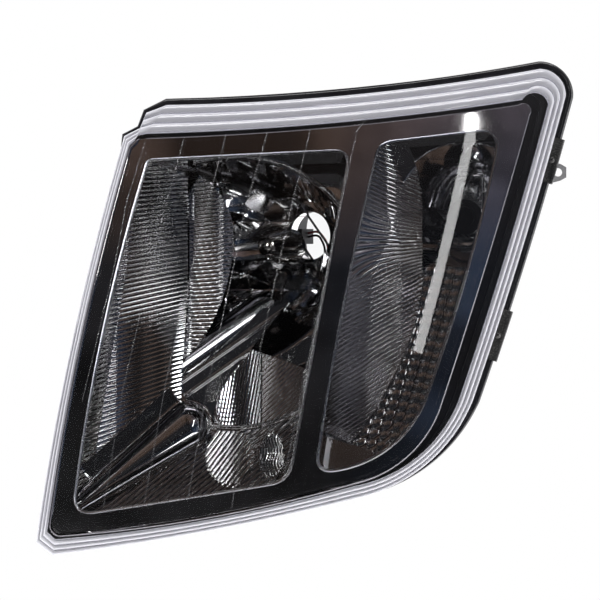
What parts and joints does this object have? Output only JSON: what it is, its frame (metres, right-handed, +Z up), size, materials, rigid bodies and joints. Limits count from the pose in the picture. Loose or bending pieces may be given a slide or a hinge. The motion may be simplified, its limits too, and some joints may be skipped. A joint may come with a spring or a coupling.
{
  "type": "car headlight assembly",
  "caption": "Left-hand van headlamp: clear stepped lens, dark chrome panel with headlamp and indicator windows, aimable faceted reflector, rear cover.",
  "frame": {"origin": "centre of the hole in the side fixing tab", "axes": "-Y the way the lens faces (out of the flange plane), +X to the outer side of the vehicle, +Z up along the flange plane"},
  "size_m": [0.4135, 0.2758, 0.3827],
  "materials": {
    "housing_black": "fine moulded texture",
    "lens_clear": "clear gloss polycarbonate",
    "sealant": "matte",
    "dark_chrome": "dark metallised gloss over moulded plastic",
    "reflector_chrome": "bright metallised gloss over moulded plastic",
    "shield_chrome": "polished",
    "motor_plastic": "moulded",
    "nylon": "moulded nylon",
    "contact_brass": "tinned",
    "rubber_black": "matte",
    "steel": "zinc plated",
    "tab_grey": "moulded grey plastic",
    "clip_black": "black coated spring steel",
    "lead_red": "soft insulation",
    "lead_black": "soft insulation",
    "bulb_glass": "clear",
    "spring_steel": "dark spring wire",
    "cover_plastic": "moulded",
    "holder_plastic": "moulded"
  },
  "bodies": {
    "housing": {"housing": "housing_black", "lens_cover": "lens_clear", "lens_seal": "sealant", "bezel": "dark_chrome", "indicator_reflector": "reflector_chrome", "levelling_motor": "motor_plastic", "pivot_ball_stud": "nylon", "wiring_socket": "housing_black", "socket_contacts": "contact_brass", "breather_cap": "rubber_black", "cover_hinge_pin": "steel", "side_fixing_tab": "tab_grey", "side_tab_screw": "steel", "fixing_sleeves": "steel", "upper_lens_clip": "clip_black", "lower_lens_clip": "clip_black", "side_light_connector": "motor_plastic", "side_light_lead_red": "lead_red", "side_light_lead_black": "lead_black"},
    "pivot_socket": {"pivot_ball_socket": "nylon"},
    "reflector": {"main_reflector": "reflector_chrome", "glare_shield": "shield_chrome", "glare_shield_stalk": "shield_chrome", "lift_ball_socket": "nylon", "swivel_ball_socket": "nylon", "side_light_holder": "motor_plastic", "side_light_bulb": "bulb_glass"},
    "bulb_clip": {"bulb_clip": "spring_steel"},
    "levelling_rod": {"levelling_push_rod": "nylon"},
    "vertical_aim": {"vertical_aim_screw": "nylon"},
    "swivel_rod": {"horizontal_aim_rod": "steel"},
    "horizontal_aim": {"horizontal_aim_screw": "nylon"},
    "rear_cover": {"rear_cover": "cover_plastic", "rear_cover_seal": "rubber_black"},
    "indicator_holder": {"indicator_holder": "holder_plastic", "indicator_holder_seal": "rubber_black"}
  },
  "joints": [
    {"name": "horizontal_aim_turn", "type": "hinge", "parent": "housing", "child": "horizontal_aim", "pos_m": [-0.232, 0.122, -0.16], "axis": [0, 1, 0], "range_deg": [-471.3, 471.3]},
    {"name": "vertical_aim_turn", "type": "hinge", "parent": "housing", "child": "vertical_aim", "pos_m": [-0.332, 0.132, -0.05], "axis": [0, 1, 0], "range_deg": [-622.1, 622.1]},
    {"name": "reflector_swivel", "type": "hinge", "parent": "housing", "child": "pivot_socket", "pos_m": [-0.332, 0.074, -0.16], "axis": [0, 0, 1], "range_deg": [-1.5, 1.5], "deforming": ["side_light_lead_red", "side_light_lead_black"]},
    {"name": "reflector_tilt", "type": "hinge", "parent": "pivot_socket", "child": "reflector", "pos_m": [-0.332, 0.074, -0.16], "axis": [1, 0, 0], "range_deg": [-1.8, 1.8], "deforming": ["side_light_lead_red", "side_light_lead_black"]},
    {"name": "bulb_clip_swing", "type": "hinge", "parent": "reflector", "child": "bulb_clip", "pos_m": [-0.17206, 0.07658, -0.07198], "axis": [-0.6275, 0.4394, -0.6428], "range_deg": [0, 95]},
    {"name": "levelling_push", "type": "slide", "parent": "housing", "child": "levelling_rod", "axis": [0, 1, 0], "range_m": [-0.0036, 0.0036]},
    {"name": "swivel_push", "type": "slide", "parent": "housing", "child": "swivel_rod", "axis": [0, 1, 0], "range_m": [-0.0028, 0.0028]},
    {"name": "rear_cover_swing", "type": "hinge", "parent": "housing", "child": "rear_cover", "pos_m": [-0.15028, 0.14129, -0.117], "axis": [0.8192, -0.5736, 0], "range_deg": [0, 180]},
    {"name": "indicator_holder_twist", "type": "hinge", "parent": "housing", "child": "indicator_holder", "pos_m": [-0.0725, 0.082, -0.0345], "axis": [0, 1, 0], "range_deg": [0, 30]}
  ],
  "couplings": [
    {"joint": "vertical_aim_turn", "follows": "reflector_tilt", "ratio": 345.58},
    {"joint": "levelling_push", "follows": "reflector_tilt", "m_per_rad": -0.11},
    {"joint": "horizontal_aim_turn", "follows": "reflector_swivel", "ratio": 314.16},
    {"joint": "swivel_push", "follows": "reflector_swivel", "m_per_rad": 0.1}
  ]
}
